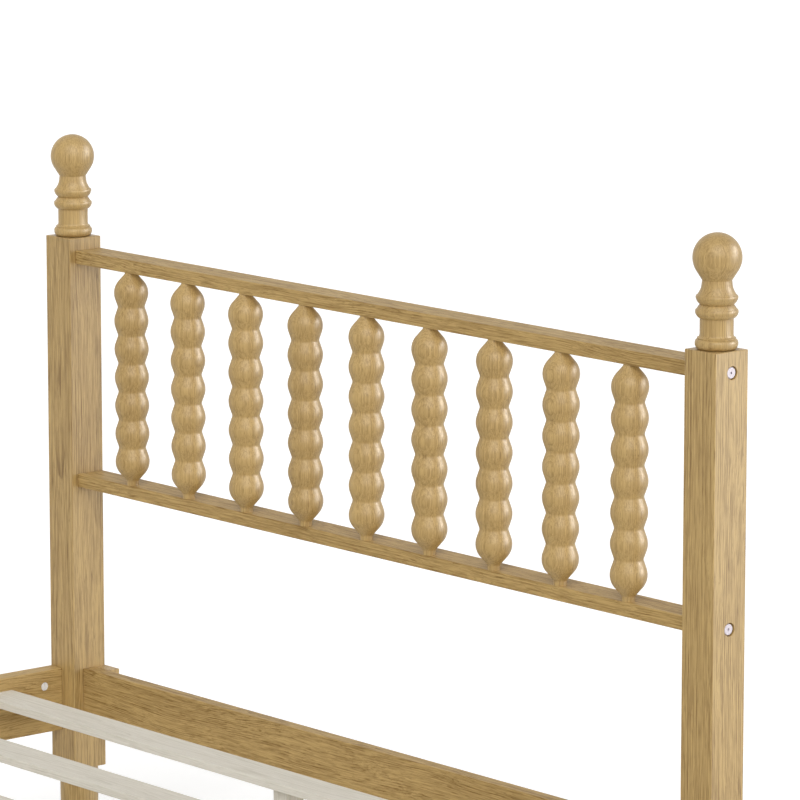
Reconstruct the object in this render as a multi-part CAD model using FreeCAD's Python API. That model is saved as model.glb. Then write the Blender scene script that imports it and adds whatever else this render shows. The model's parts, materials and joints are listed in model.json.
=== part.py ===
import FreeCAD
import Part
import math
import os

# Wooden spindle bed with turned posts.
# X runs across the bed, Y along it with the head end at +Y, Z is up.
# The origin is on the floor, at the middle of the bed's footprint.
# All sizes are in millimetres.

# ---- bed ----
BED_WIDTH = 1613.0         # over the outer faces of the posts
RAIL_LENGTH = 2022.0       # side rail, between head and foot posts

# ---- posts: square above, turned foot below ----
POST = 65.0                # side of the square section
POST_EASE = 1.0            # eased long edges
POST_END_EASE = 0.8        # eased edges of both ends of the square
HEAD_POST_TOP = 1039.0     # floor to the top of the square
FOOT_POST_TOP = 613.0
TURNED_HEIGHT = 130.0      # floor to the start of the square
TURNED_R = 32.3
TURNED_STRAIGHT = 54.0     # straight part of the foot, below the square
TURNED_FLOOR_R = 24.5
TURNED_FLOOR_ROUND = 3.0

# ---- finials, stacked upwards from the post's top ----
FINIAL_FOOT_R = 25.0       # where the base bead meets the post
FINIAL_BASE_R = 31.6       # base bead
FINIAL_BASE_MIDDLE = 8.8
FINIAL_BASE_TOP = 15.0
FINIAL_COLLAR_R = 28.4     # narrow collar on the base bead
FINIAL_COLLAR_TOP = 17.2
FINIAL_STEM_R = 24.7
FINIAL_STEM_BOTTOM = 21.6
FINIAL_STEM_TOP = 45.3
FINIAL_RIM_R = 31.6        # lower of the two middle beads
FINIAL_RIM_MIDDLE = 54.6
FINIAL_GROOVE = 65.7       # floor of the groove between the middle beads
FINIAL_UPPER_RIM_R = 31.0
FINIAL_UPPER_MIDDLE = 76.0
FINIAL_RIM_EDGE = 3.8      # rim's middle up to its edge
FINIAL_EDGE_STEP = 1.2     # small step behind a rim's edge
FINIAL_NECK_BOTTOM_R = 23.5
FINIAL_NECK_BOTTOM = 89.2
FINIAL_NECK_R = 21.9
FINIAL_NECK_TOP = 101.0
FINIAL_BALL_R = 36.2
FINIAL_BALL_MIDDLE = 134.0
FINIAL_PEG_R = 9.0
FINIAL_PEG_LENGTH = 28.0

# ---- cross rails of the end frames ----
RAIL_FRONT = 12.2          # from the post's bed side back to the rail
RAIL_HEIGHT = 22.3
RAIL_EASE = 1.2
TOP_RAIL_DROP = 20.3       # post top down to the top rail

# ---- turned spindles ----
SPINDLE_COUNT = 9
SPINDLE_END_GAP = 138.6    # post to the middle of the first spindle
SPINDLE_BACK = 22.4        # spindle axis behind the post's bed side
HEAD_BEAD_COUNT = 7
FOOT_BEAD_COUNT = 3
BEAD_R = 28.2
BEAD_PITCH = 47.2
BEAD_ARC_R = 32.0          # round middle of a bead
BEAD_STEEP = 19.0          # degrees, straight side towards the next bead
GROOVE_R = 7.0             # hollow between two beads
END_ARC_R = 29.1           # outer side of the first and last bead
END_STEEP = 41.0
NECK_HOLLOW_R = 4.8
SPINDLE_NECK_R = 10.2
LOWER_NECK = 39.7          # rail up to the middle of the first bead
UPPER_NECK = 33.5          # middle of the last bead up to the rail
SPINDLE_PEG_R = 6.5
SPINDLE_PEG_LENGTH = 14.0

# ---- bottom board of each end frame, and its corner cleats ----
BOARD_FRONT = 19.0         # from the post's bed side back to the board
BOARD_THICK = 24.0
BOARD_HEIGHT = 85.0
BOARD_TOP = 304.0
BOARD_EASE = 1.5
CLEAT_WIDTH = 39.6

# ---- side rails and ledgers ----
SIDE_THICK = 31.0
SIDE_HEIGHT = 107.0
SIDE_TOP = 302.0
SIDE_EASE = 1.5
LEDGER_WIDTH = 20.0
LEDGER_HEIGHT = 22.0
LEDGER_END_GAP = 70.0      # ledger's end to the post

# ---- slats and centre legs ----
SLAT_COUNT = 9
SLAT_WIDTH = 65.0
SLAT_THICK = 13.0
SLAT_EASE = 1.0
SLAT_END_GAP = 1.0         # slat's end to the side rail
SLAT_TOP_DROP = 22.0       # side rail's top down to the slats
FIRST_SLAT = 138.0         # post to the middle of the first slat
LEG_SIDE = 34.0
LEG_EASE = 1.0
LEG_SLATS = (0, 4, 8)      # the slats that stand on a leg
DOWEL_R = 5.0
DOWEL_IN_SLAT = 8.0
DOWEL_IN_LEG = 20.0

# ---- bolts that hold the cross rails ----
RAIL_BOLT_BACK = 33.5      # axis behind the post's bed side
RAIL_BOLT_R = 3.0
RAIL_BOLT_LENGTH = 98.0    # under the head
RAIL_HEAD_R = 8.5
RAIL_HEAD_THICK = 2.6
RAIL_SINK_R = 10.3
RAIL_SINK_DEPTH = 4.6
RAIL_NUT_R = 5.0
RAIL_NUT_LENGTH = 15.0
RAIL_NUT_IN = 31.0         # rail's end to the nut

# ---- bolts that hold the side rails ----
SIDE_BOLT_DROPS = (27.0, 80.0)   # side rail's top down to each bolt
SIDE_BOLT_R = 4.0
SIDE_BOLT_LENGTH = 108.0
SIDE_HEAD_R = 9.0
SIDE_HEAD_THICK = 3.4
SIDE_SINK_R = 11.0
SIDE_SINK_DEPTH = 6.0
SIDE_NUT_R = 7.2
SIDE_NUT_LENGTH = 26.0
SIDE_NUT_IN = 36.6         # side rail's end to the nut
SIDE_NUT_SINK = 0.6        # nut's end below the rail's inner face
NUT_SLOT = 1.8             # screwdriver slot in a nut's end

# ---- wood screws ----
SCREW_HEAD_R = 4.0
SCREW_HEAD_DEPTH = 2.6
SCREW_R = 2.0
SCREW_POINT = 5.0
SHORT_SCREW = 30.0         # slat into ledger
MEDIUM_SCREW = 38.0        # cleat into board, ledger into side rail
LONG_SCREW = 58.0          # cleat into post
CLEAT_SCREW_INSETS = (14.0, 58.0)   # cleat's top down to each long screw
BOARD_SCREW_INSETS = (27.0, 71.0)   # cleat's top down to each medium screw

# ---- clearances ----
PEG_CLEAR = 0.15           # round pegs in their holes
PEG_END_CLEAR = 1.0        # below a peg's end
BOLT_CLEAR = 0.4           # bolt shanks in wood
NUT_CLEAR = 0.2            # barrel nuts in wood, and bolts in nuts

# ---- derived places ----
HALF_WIDTH = BED_WIDTH / 2
POST_FACE = RAIL_LENGTH / 2            # |Y| of the posts' bed side
POST_X = HALF_WIDTH - POST / 2         # |X| of the posts' axes
POST_Y = POST_FACE + POST / 2          # |Y| of the posts' axes
INNER_X = HALF_WIDTH - POST            # |X| of the posts' inner faces
RAIL_DEPTH = POST - RAIL_FRONT         # cross rails reach the post's back
SPINDLE_Y = POST_FACE + SPINDLE_BACK
SPINDLE_PITCH = 2 * (INNER_X - SPINDLE_END_GAP) / (SPINDLE_COUNT - 1)
SIDE_INNER_X = HALF_WIDTH - SIDE_THICK
SIDE_BOLT_X = HALF_WIDTH - SIDE_THICK / 2
SLAT_TOP = SIDE_TOP - SLAT_TOP_DROP
SLAT_UNDER = SLAT_TOP - SLAT_THICK
SLAT_PITCH = (RAIL_LENGTH - 2 * FIRST_SLAT) / (SLAT_COUNT - 1)
CLEAT_DEPTH = POST - BOARD_FRONT - BOARD_THICK
CLEAT_X = INNER_X - CLEAT_WIDTH / 2
CLEAT_FACE = POST_FACE + BOARD_FRONT + BOARD_THICK

X = FreeCAD.Vector(1, 0, 0)
Y = FreeCAD.Vector(0, 1, 0)
Z = FreeCAD.Vector(0, 0, 1)

HEAD = 1                   # end frames: +1 at the head, -1 at the foot
FOOT = -1
RIGHT = 1
LEFT = -1
SIDES = (("left", LEFT), ("right", RIGHT))
ENDS = (("head", HEAD, HEAD_POST_TOP, HEAD_BEAD_COUNT),
        ("foot", FOOT, FOOT_POST_TOP, FOOT_BEAD_COUNT))


# ---- small geometry helpers ----

def box(x_span, y_span, z_span):
    """A box from three (low, high) spans, in any order."""
    low = [min(span) for span in (x_span, y_span, z_span)]
    size = [abs(span[1] - span[0]) for span in (x_span, y_span, z_span)]
    return Part.makeBox(size[0], size[1], size[2], FreeCAD.Vector(*low))


def eased(solid, radius, along):
    """Round the edges of a box that run along one axis."""
    edges = []
    for edge in solid.Edges:
        if abs(edge.tangentAt(edge.FirstParameter).dot(along)) > 0.99:
            edges.append(edge)
    return solid.makeFillet(radius, edges)


def rod(radius, start, direction, length):
    return Part.makeCylinder(radius, length, start, direction)


def at(x, y, z):
    return FreeCAD.Vector(x, y, z)


def bulge(start, end, rise):
    """Arc between two profile points; a positive rise swells outwards."""
    chord = end - start
    out = at(chord.z, 0, -chord.x)
    out.normalize()
    middle = (start + end) * 0.5 + out * rise
    return Part.Arc(start, middle, end).toShape()


def line(start, end):
    return Part.LineSegment(start, end).toShape()


def turned(edges):
    """Revolve an open profile in the XZ plane that starts and ends on Z."""
    first = edges[0].Vertexes[0].Point
    last = edges[-1].Vertexes[-1].Point
    outline = Part.Wire(edges + [line(last, first)])
    solid = Part.Face(outline).revolve(at(0, 0, 0), Z, 360)
    if solid.Volume < 0:
        solid.reverse()
    return solid


def chain(points):
    """Profile edges through (radius, height, rise) points."""
    edges = []
    here = at(points[0][0], 0, points[0][1])
    for radius, height, rise in points[1:]:
        there = at(radius, 0, height)
        if rise:
            edges.append(bulge(here, there, rise))
        else:
            edges.append(line(here, there))
        here = there
    return edges


def placed(shape, x, y, z):
    copy = shape.copy()
    copy.translate(at(x, y, z))
    return copy


def aimed(shape, origin, direction):
    """Turn a shape made along +Z to a direction and put it at a point."""
    turn = FreeCAD.Rotation(Z, direction)
    copy = shape.copy()
    copy.Placement = FreeCAD.Placement(origin, turn)
    return copy


# ---- fasteners, made along +Z from the underside of the head ----

def flat_bolt(shank_r, length, head_r, head_thick):
    """Joint bolt: flat head with a hexagon socket, and a round shank."""
    head = Part.makeCylinder(head_r, head_thick, at(0, 0, -head_thick))
    rim = [edge for edge in head.Edges if edge.CenterOfMass.z < -head_thick / 2
           and abs(edge.CenterOfMass.x) < 0.01 and edge.Closed]
    head = head.makeChamfer(head_thick / 4, rim)
    corners = [at(0.62 * shank_r * math.cos(math.radians(60 * k)),
                  0.62 * shank_r * math.sin(math.radians(60 * k)),
                  -head_thick) for k in range(7)]
    socket = Part.Face(Part.makePolygon(corners)).extrude(Z * (head_thick * 0.8))
    return head.cut(socket).fuse(Part.makeCylinder(shank_r, length))


def barrel_nut(radius, length, bolt_r):
    """Cross nut centred on its bolt hole, its axis along Z, slot on top."""
    body = Part.makeCylinder(radius, length, at(0, 0, -length / 2))
    hole = rod(bolt_r + NUT_CLEAR, at(-2 * radius, 0, 0), X, 4 * radius)
    slot = box((-2 * radius, 2 * radius), (-NUT_SLOT / 2, NUT_SLOT / 2),
               (length / 2 - NUT_SLOT, length))
    return body.cut(hole).cut(slot)


def wood_screw(length):
    """Countersunk screw along +Z, with its head's top at the origin."""
    return turned(chain([
        (0, 0, 0),
        (SCREW_HEAD_R, 0, 0),
        (SCREW_R, SCREW_HEAD_DEPTH, 0),
        (SCREW_R, length - SCREW_POINT, 0),
        (0, length, 0)]))


# ---- turned pieces ----

def finial():
    """Ball finial with three beads; its base is at Z = 0, peg below."""
    low_edge = FINIAL_RIM_MIDDLE + FINIAL_RIM_EDGE
    high_edge = FINIAL_UPPER_MIDDLE + FINIAL_RIM_EDGE
    lower = chain([
        (0, -FINIAL_PEG_LENGTH, 0),
        (FINIAL_PEG_R, -FINIAL_PEG_LENGTH, 0),
        (FINIAL_PEG_R, 0, 0),
        (FINIAL_FOOT_R, 0, 0),
        (FINIAL_BASE_R, FINIAL_BASE_MIDDLE, 2.1),
        (FINIAL_COLLAR_R + 0.4, FINIAL_BASE_TOP, 1.0),
        (FINIAL_COLLAR_R - 0.4, FINIAL_BASE_TOP + 0.5, 0),
        (FINIAL_COLLAR_R, FINIAL_BASE_TOP + 0.9, 0),
        (FINIAL_COLLAR_R, FINIAL_COLLAR_TOP, 0),
        (FINIAL_STEM_R, FINIAL_STEM_BOTTOM, -0.9),
        (FINIAL_STEM_R, FINIAL_STEM_TOP, 0),
        (FINIAL_RIM_R, FINIAL_RIM_MIDDLE, 1.5),
        (FINIAL_RIM_R - 0.9, low_edge, 0.3),
        (FINIAL_RIM_R - 0.9 - FINIAL_EDGE_STEP, low_edge + 0.4, 0),
        (FINIAL_STEM_R, FINIAL_GROOVE, 0.3),
        (FINIAL_UPPER_RIM_R, FINIAL_UPPER_MIDDLE, 1.2),
        (FINIAL_UPPER_RIM_R - 0.9, high_edge - 0.9, 0.2),
        (FINIAL_UPPER_RIM_R - 0.9 - FINIAL_EDGE_STEP, high_edge - 0.5, 0),
        (FINIAL_NECK_BOTTOM_R, FINIAL_NECK_BOTTOM, -0.3),
        (FINIAL_NECK_R, FINIAL_NECK_TOP, -0.2)])
    under_r, under = ball_touch()
    neck_top = at(FINIAL_NECK_R, 0, FINIAL_NECK_TOP)
    touch = at(under_r, 0, under)
    side = at(FINIAL_BALL_R, 0, FINIAL_BALL_MIDDLE)
    top = at(0, 0, FINIAL_BALL_MIDDLE + FINIAL_BALL_R)
    sphere = Part.Arc(touch, side, top)
    return turned(lower + [line(neck_top, touch), sphere.toShape()])


def ball_touch():
    """Radius and height where the cone from the neck touches the ball."""
    drop = FINIAL_BALL_MIDDLE - FINIAL_NECK_TOP
    reach = math.hypot(FINIAL_NECK_R, drop)
    aside = math.atan2(FINIAL_NECK_R, drop)
    angle = math.acos(FINIAL_BALL_R / reach) + aside
    return (FINIAL_BALL_R * math.sin(angle),
            FINIAL_BALL_MIDDLE - FINIAL_BALL_R * math.cos(angle))


def spindle_length(beads):
    return LOWER_NECK + (beads - 1) * BEAD_PITCH + UPPER_NECK


def bead_side(arc_r, steep, hollow_r, floor_r):
    """Side of a bead from its middle outwards, as (radius, reach) points:
    a round arc, a straight side and a hollow that ends at floor_r."""
    steep = math.radians(steep)

    def on_round(angle):
        return (BEAD_R - arc_r * (1 - math.cos(angle)), arc_r * math.sin(angle))

    round_r, round_reach = on_round(steep)
    hollow_top = floor_r + hollow_r * (1 - math.cos(steep))
    straight = (round_r - hollow_top) / math.tan(steep)
    end = round_reach + straight + hollow_r * math.sin(steep)

    def on_hollow(angle):
        return (floor_r + hollow_r * (1 - math.cos(angle)),
                end - hollow_r * math.sin(angle))

    return [on_round(0), on_round(steep / 2), on_round(steep),
            on_hollow(steep), on_hollow(steep / 2), on_hollow(0)]


def groove_floor():
    """Radius at the floor of the groove midway between two beads."""
    steep = math.radians(BEAD_STEEP)
    round_r = BEAD_R - BEAD_ARC_R * (1 - math.cos(steep))
    straight = BEAD_PITCH / 2 - (BEAD_ARC_R + GROOVE_R) * math.sin(steep)
    hollow_top = round_r - straight * math.tan(steep)
    return hollow_top - GROOVE_R * (1 - math.cos(steep))


def side_edges(side, middle, sign):
    """Profile edges of one side of a bead, in order of rising height."""
    points = [at(radius, 0, middle + sign * reach) for radius, reach in side]
    if sign < 0:
        points.reverse()
    return [Part.Arc(points[0], points[1], points[2]).toShape(),
            line(points[2], points[3]),
            Part.Arc(points[3], points[4], points[5]).toShape()]


def spindle(beads):
    """Turned spindle of equal beads; its lower rail's top is at Z = 0."""
    top = spindle_length(beads)
    outer = bead_side(END_ARC_R, END_STEEP, NECK_HOLLOW_R, SPINDLE_NECK_R)
    inner = bead_side(BEAD_ARC_R, BEAD_STEEP, GROOVE_R, groove_floor())
    outer_reach = outer[-1][1]
    edges = chain([
        (0, -SPINDLE_PEG_LENGTH, 0),
        (SPINDLE_PEG_R, -SPINDLE_PEG_LENGTH, 0),
        (SPINDLE_PEG_R, 0, 0),
        (SPINDLE_NECK_R, 0, 0),
        (SPINDLE_NECK_R, LOWER_NECK - outer_reach, 0)])
    for index in range(beads):
        middle = LOWER_NECK + index * BEAD_PITCH
        below = outer if index == 0 else inner
        above = outer if index == beads - 1 else inner
        edges += side_edges(below, middle, -1)
        edges += side_edges(above, middle, 1)
    edges += chain([
        (SPINDLE_NECK_R, top - UPPER_NECK + outer_reach, 0),
        (SPINDLE_NECK_R, top, 0),
        (SPINDLE_PEG_R, top, 0),
        (SPINDLE_PEG_R, top + SPINDLE_PEG_LENGTH, 0),
        (0, top + SPINDLE_PEG_LENGTH, 0)])
    return turned(edges)


# ---- places that several pieces share ----

def spindle_xs():
    middle = (SPINDLE_COUNT - 1) / 2
    return [(index - middle) * SPINDLE_PITCH for index in range(SPINDLE_COUNT)]


def rail_tops(post_top, beads):
    """Heights of the tops of the top rail and of the spindle rail."""
    upper = post_top - TOP_RAIL_DROP
    lower = upper - RAIL_HEIGHT - spindle_length(beads)
    return upper, lower


def slat_ys():
    head_slat = POST_FACE - FIRST_SLAT
    return [head_slat - index * SLAT_PITCH for index in range(SLAT_COUNT)]


def side_bolt_zs():
    return [SIDE_TOP - drop for drop in SIDE_BOLT_DROPS]


def ledger_screw_ys():
    """Ledger screws stand midway between neighbouring slats."""
    ys = slat_ys()
    return [(ys[index] + ys[index + 1]) / 2 for index in range(0, SLAT_COUNT - 1)]


def long_screw_places(side, end):
    y = end * (CLEAT_FACE + CLEAT_DEPTH / 2)
    x = side * (INNER_X - CLEAT_WIDTH)
    return [(at(x, y, BOARD_TOP - inset), X * side) for inset in CLEAT_SCREW_INSETS]


def board_screw_places(side, end):
    y = end * (CLEAT_FACE + CLEAT_DEPTH)
    return [(at(side * CLEAT_X, y, BOARD_TOP - inset), Y * -end)
            for inset in BOARD_SCREW_INSETS]


def ledger_screw_places(side):
    x = side * (SIDE_INNER_X - LEDGER_WIDTH)
    z = SLAT_UNDER - LEDGER_HEIGHT / 2
    return [(at(x, y, z), X * side) for y in ledger_screw_ys()]


def slat_screw_places(y):
    x = SIDE_INNER_X - LEDGER_WIDTH / 2
    return [(at(side * x, y, SLAT_TOP), Z * -1) for side in (LEFT, RIGHT)]


def drilled(solid, places, length):
    """Cut the holes of wood screws."""
    cutter = wood_screw(length)
    for origin, direction in places:
        solid = solid.cut(aimed(cutter, origin, direction))
    return solid


# ---- wooden pieces ----

def post(side, end, post_top, beads):
    square = box((side * HALF_WIDTH, side * INNER_X),
                 (end * POST_FACE, end * (POST_FACE + POST)),
                 (TURNED_HEIGHT, post_top))
    square = eased(square, POST_EASE, Z)
    ends = [edge for edge in square.Edges
            if abs(edge.BoundBox.ZMax - edge.BoundBox.ZMin) < 0.01]
    square = square.makeChamfer(POST_END_EASE, ends)
    foot = turned(chain([
        (0, 0, 0),
        (TURNED_FLOOR_R - TURNED_FLOOR_ROUND, 0, 0),
        (TURNED_FLOOR_R, TURNED_FLOOR_ROUND, TURNED_FLOOR_ROUND * 0.29),
        (TURNED_R, TURNED_HEIGHT - TURNED_STRAIGHT, 2.0),
        (TURNED_R, TURNED_HEIGHT + POST_END_EASE, 0),
        (0, TURNED_HEIGHT + POST_END_EASE, 0)]))
    foot = placed(foot, side * POST_X, end * POST_Y, 0)
    solid = square.fuse(foot)
    peg_depth = FINIAL_PEG_LENGTH + PEG_END_CLEAR
    solid = solid.cut(rod(FINIAL_PEG_R + PEG_CLEAR,
                          at(side * POST_X, end * POST_Y, post_top - peg_depth),
                          Z, peg_depth + 1))
    for rail_top in rail_tops(post_top, beads):
        start = at(side * HALF_WIDTH, end * (POST_FACE + RAIL_BOLT_BACK),
                   rail_top - RAIL_HEIGHT / 2)
        inward = X * -side
        solid = solid.cut(rod(RAIL_BOLT_R + BOLT_CLEAR, start, inward, POST))
        solid = solid.cut(rod(RAIL_SINK_R, start, inward, RAIL_SINK_DEPTH))
    for z in side_bolt_zs():
        start = at(side * SIDE_BOLT_X, end * (POST_FACE + POST), z)
        inward = Y * -end
        solid = solid.cut(rod(SIDE_BOLT_R + BOLT_CLEAR, start, inward, POST))
        solid = solid.cut(rod(SIDE_SINK_R, start, inward, SIDE_SINK_DEPTH))
    return drilled(solid, long_screw_places(side, end), LONG_SCREW)


def cross_rail(end, top, pegs_above, pegs_below):
    """Flat rail between two posts, with holes for pegs, bolts and nuts."""
    front = POST_FACE + RAIL_FRONT
    solid = box((-INNER_X, INNER_X), (end * front, end * (front + RAIL_DEPTH)),
                (top - RAIL_HEIGHT, top))
    solid = eased(solid, RAIL_EASE, X)
    depth = SPINDLE_PEG_LENGTH + PEG_END_CLEAR
    for x in spindle_xs():
        if pegs_above:
            start = at(x, end * SPINDLE_Y, top - depth)
            solid = solid.cut(rod(SPINDLE_PEG_R + PEG_CLEAR, start, Z, depth))
        if pegs_below:
            start = at(x, end * SPINDLE_Y, top - RAIL_HEIGHT)
            solid = solid.cut(rod(SPINDLE_PEG_R + PEG_CLEAR, start, Z, depth))
    bolt_y = end * (POST_FACE + RAIL_BOLT_BACK)
    middle = top - RAIL_HEIGHT / 2
    bolt_in = RAIL_BOLT_LENGTH - (POST - RAIL_SINK_DEPTH) + PEG_END_CLEAR
    nut_top = middle + RAIL_NUT_LENGTH / 2 + NUT_CLEAR
    for side in (LEFT, RIGHT):
        start = at(side * INNER_X, bolt_y, middle)
        solid = solid.cut(rod(RAIL_BOLT_R + BOLT_CLEAR, start, X * -side, bolt_in))
        start = at(side * (INNER_X - RAIL_NUT_IN), bolt_y, top - RAIL_HEIGHT)
        solid = solid.cut(rod(RAIL_NUT_R + NUT_CLEAR, start, Z,
                              nut_top - top + RAIL_HEIGHT))
    return solid


def bottom_board(end):
    front = POST_FACE + BOARD_FRONT
    solid = box((-INNER_X, INNER_X), (end * front, end * (front + BOARD_THICK)),
                (BOARD_TOP - BOARD_HEIGHT, BOARD_TOP))
    solid = eased(solid, BOARD_EASE, X)
    for side in (LEFT, RIGHT):
        solid = drilled(solid, board_screw_places(side, end), MEDIUM_SCREW)
    return solid


def cleat(side, end):
    solid = box((side * INNER_X, side * (INNER_X - CLEAT_WIDTH)),
                (end * CLEAT_FACE, end * (CLEAT_FACE + CLEAT_DEPTH)),
                (BOARD_TOP - BOARD_HEIGHT, BOARD_TOP))
    solid = drilled(solid, board_screw_places(side, end), MEDIUM_SCREW)
    return drilled(solid, long_screw_places(side, end), LONG_SCREW)


def side_rail(side):
    solid = box((side * HALF_WIDTH, side * SIDE_INNER_X), (-POST_FACE, POST_FACE),
                (SIDE_TOP - SIDE_HEIGHT, SIDE_TOP))
    solid = eased(solid, SIDE_EASE, Y)
    bolt_in = SIDE_BOLT_LENGTH - (POST - SIDE_SINK_DEPTH) + PEG_END_CLEAR
    nut_depth = SIDE_NUT_SINK + SIDE_NUT_LENGTH + NUT_CLEAR
    for end in (HEAD, FOOT):
        for z in side_bolt_zs():
            start = at(side * SIDE_BOLT_X, end * POST_FACE, z)
            solid = solid.cut(rod(SIDE_BOLT_R + BOLT_CLEAR, start, Y * -end, bolt_in))
            start = at(side * SIDE_INNER_X, end * (POST_FACE - SIDE_NUT_IN), z)
            solid = solid.cut(rod(SIDE_NUT_R + NUT_CLEAR, start, X * side, nut_depth))
    return drilled(solid, ledger_screw_places(side), MEDIUM_SCREW)


def ledger(side):
    reach = POST_FACE - LEDGER_END_GAP
    solid = box((side * SIDE_INNER_X, side * (SIDE_INNER_X - LEDGER_WIDTH)),
                (-reach, reach), (SLAT_UNDER - LEDGER_HEIGHT, SLAT_UNDER))
    solid = drilled(solid, ledger_screw_places(side), MEDIUM_SCREW)
    for y in slat_ys():
        solid = drilled(solid, slat_screw_places(y), SHORT_SCREW)
    return solid


def slat(index):
    y = slat_ys()[index]
    reach = SIDE_INNER_X - SLAT_END_GAP
    solid = box((-reach, reach), (y - SLAT_WIDTH / 2, y + SLAT_WIDTH / 2),
                (SLAT_UNDER, SLAT_TOP))
    solid = eased(solid, SLAT_EASE, X)
    solid = drilled(solid, slat_screw_places(y), SHORT_SCREW)
    if index in LEG_SLATS:
        solid = solid.cut(rod(DOWEL_R + PEG_CLEAR, at(0, y, SLAT_UNDER), Z,
                              DOWEL_IN_SLAT + NUT_CLEAR))
    return solid


def centre_leg(y):
    half = LEG_SIDE / 2
    solid = box((-half, half), (y - half, y + half), (0, SLAT_UNDER))
    solid = eased(solid, LEG_EASE, Z)
    depth = DOWEL_IN_LEG + NUT_CLEAR
    return solid.cut(rod(DOWEL_R + PEG_CLEAR, at(0, y, SLAT_UNDER - depth), Z, depth))


# ---- groups of identical fasteners ----

def rail_bolts():
    bolt = flat_bolt(RAIL_BOLT_R, RAIL_BOLT_LENGTH, RAIL_HEAD_R, RAIL_HEAD_THICK)
    group = []
    for name, end, post_top, beads in ENDS:
        for top in rail_tops(post_top, beads):
            for side in (LEFT, RIGHT):
                start = at(side * (HALF_WIDTH - RAIL_SINK_DEPTH),
                           end * (POST_FACE + RAIL_BOLT_BACK), top - RAIL_HEIGHT / 2)
                group.append(aimed(bolt, start, X * -side))
    return group


def rail_nuts():
    nut = barrel_nut(RAIL_NUT_R, RAIL_NUT_LENGTH, RAIL_BOLT_R)
    nut.rotate(at(0, 0, 0), X, 180)
    group = []
    for name, end, post_top, beads in ENDS:
        for top in rail_tops(post_top, beads):
            for side in (LEFT, RIGHT):
                group.append(placed(nut, side * (INNER_X - RAIL_NUT_IN),
                                    end * (POST_FACE + RAIL_BOLT_BACK),
                                    top - RAIL_HEIGHT / 2))
    return group


def side_bolts():
    bolt = flat_bolt(SIDE_BOLT_R, SIDE_BOLT_LENGTH, SIDE_HEAD_R, SIDE_HEAD_THICK)
    group = []
    for end in (HEAD, FOOT):
        for side in (LEFT, RIGHT):
            for z in side_bolt_zs():
                start = at(side * SIDE_BOLT_X,
                           end * (POST_FACE + POST - SIDE_SINK_DEPTH), z)
                group.append(aimed(bolt, start, Y * -end))
    return group


def side_nuts():
    """Barrel nuts; their bolt hole is off centre, at the rail's middle."""
    shift = SIDE_NUT_SINK + SIDE_NUT_LENGTH / 2 - SIDE_THICK / 2
    body = Part.makeCylinder(SIDE_NUT_R, SIDE_NUT_LENGTH,
                             at(0, 0, -SIDE_NUT_LENGTH / 2 - shift))
    hole = rod(SIDE_BOLT_R + NUT_CLEAR, at(0, -2 * SIDE_NUT_R, 0), Y, 4 * SIDE_NUT_R)
    top = SIDE_NUT_LENGTH / 2 - shift
    slot = box((-NUT_SLOT / 2, NUT_SLOT / 2), (-2 * SIDE_NUT_R, 2 * SIDE_NUT_R),
               (top - NUT_SLOT, top + 1))
    nut = body.cut(hole).cut(slot)
    group = []
    for end in (HEAD, FOOT):
        for side in (LEFT, RIGHT):
            for z in side_bolt_zs():
                start = at(side * SIDE_BOLT_X, end * (POST_FACE - SIDE_NUT_IN), z)
                group.append(aimed(nut, start, X * -side))
    return group


def screws(length, places):
    screw = wood_screw(length)
    return [aimed(screw, origin, direction) for origin, direction in places]


def medium_screw_places():
    places = []
    for side in (LEFT, RIGHT):
        places += ledger_screw_places(side)
        for end in (HEAD, FOOT):
            places += board_screw_places(side, end)
    return places


def long_screw_group():
    places = []
    for side in (LEFT, RIGHT):
        for end in (HEAD, FOOT):
            places += long_screw_places(side, end)
    return places


def slat_screw_group():
    places = []
    for y in slat_ys():
        places += slat_screw_places(y)
    return places


def leg_dowels():
    length = DOWEL_IN_SLAT + DOWEL_IN_LEG
    group = []
    for index in LEG_SLATS:
        start = at(0, slat_ys()[index], SLAT_UNDER - DOWEL_IN_LEG)
        group.append(rod(DOWEL_R, start, Z, length))
    return group


# ---- assembly ----

def end_frame(name, end, post_top, beads):
    upper, lower = rail_tops(post_top, beads)
    pieces = {
        name + "_top_rail": cross_rail(end, upper, False, True),
        name + "_spindle_rail": cross_rail(end, lower, True, False),
        name + "_board": bottom_board(end)}
    ball = finial()
    for side_name, side in SIDES:
        pieces[name + "_post_" + side_name] = post(side, end, post_top, beads)
        pieces[name + "_finial_" + side_name] = placed(
            ball, side * POST_X, end * POST_Y, post_top)
        pieces[name + "_cleat_" + side_name] = cleat(side, end)
    turning = spindle(beads)
    for number, x in enumerate(spindle_xs(), 1):
        node = "%s_spindle_%d" % (name, number)
        pieces[node] = placed(turning, x, end * SPINDLE_Y, lower)
    return pieces


def bed():
    pieces = {}
    for name, end, post_top, beads in ENDS:
        pieces.update(end_frame(name, end, post_top, beads))
    for side_name, side in SIDES:
        pieces["side_rail_" + side_name] = side_rail(side)
        pieces["ledger_" + side_name] = ledger(side)
    for index in range(SLAT_COUNT):
        pieces["slat_%d" % (index + 1)] = slat(index)
    for number, index in enumerate(LEG_SLATS, 1):
        pieces["centre_leg_%d" % number] = centre_leg(slat_ys()[index])
    pieces["leg_dowels"] = leg_dowels()
    pieces["rail_bolts"] = rail_bolts()
    pieces["rail_nuts"] = rail_nuts()
    pieces["side_bolts"] = side_bolts()
    pieces["side_nuts"] = side_nuts()
    pieces["slat_screws"] = screws(SHORT_SCREW, slat_screw_group())
    pieces["frame_screws"] = screws(MEDIUM_SCREW, medium_screw_places())
    pieces["cleat_screws"] = screws(LONG_SCREW, long_screw_group())
    return pieces


def main():
    os.makedirs("parts", exist_ok=True)
    for node, shape in bed().items():
        if isinstance(shape, list):
            shape = Part.makeCompound(shape)
        shape.exportStep("parts/%s.step" % node)
        print(node, len(shape.Solids), shape.isValid(), round(shape.Volume))


main()
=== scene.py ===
import json
import math

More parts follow.
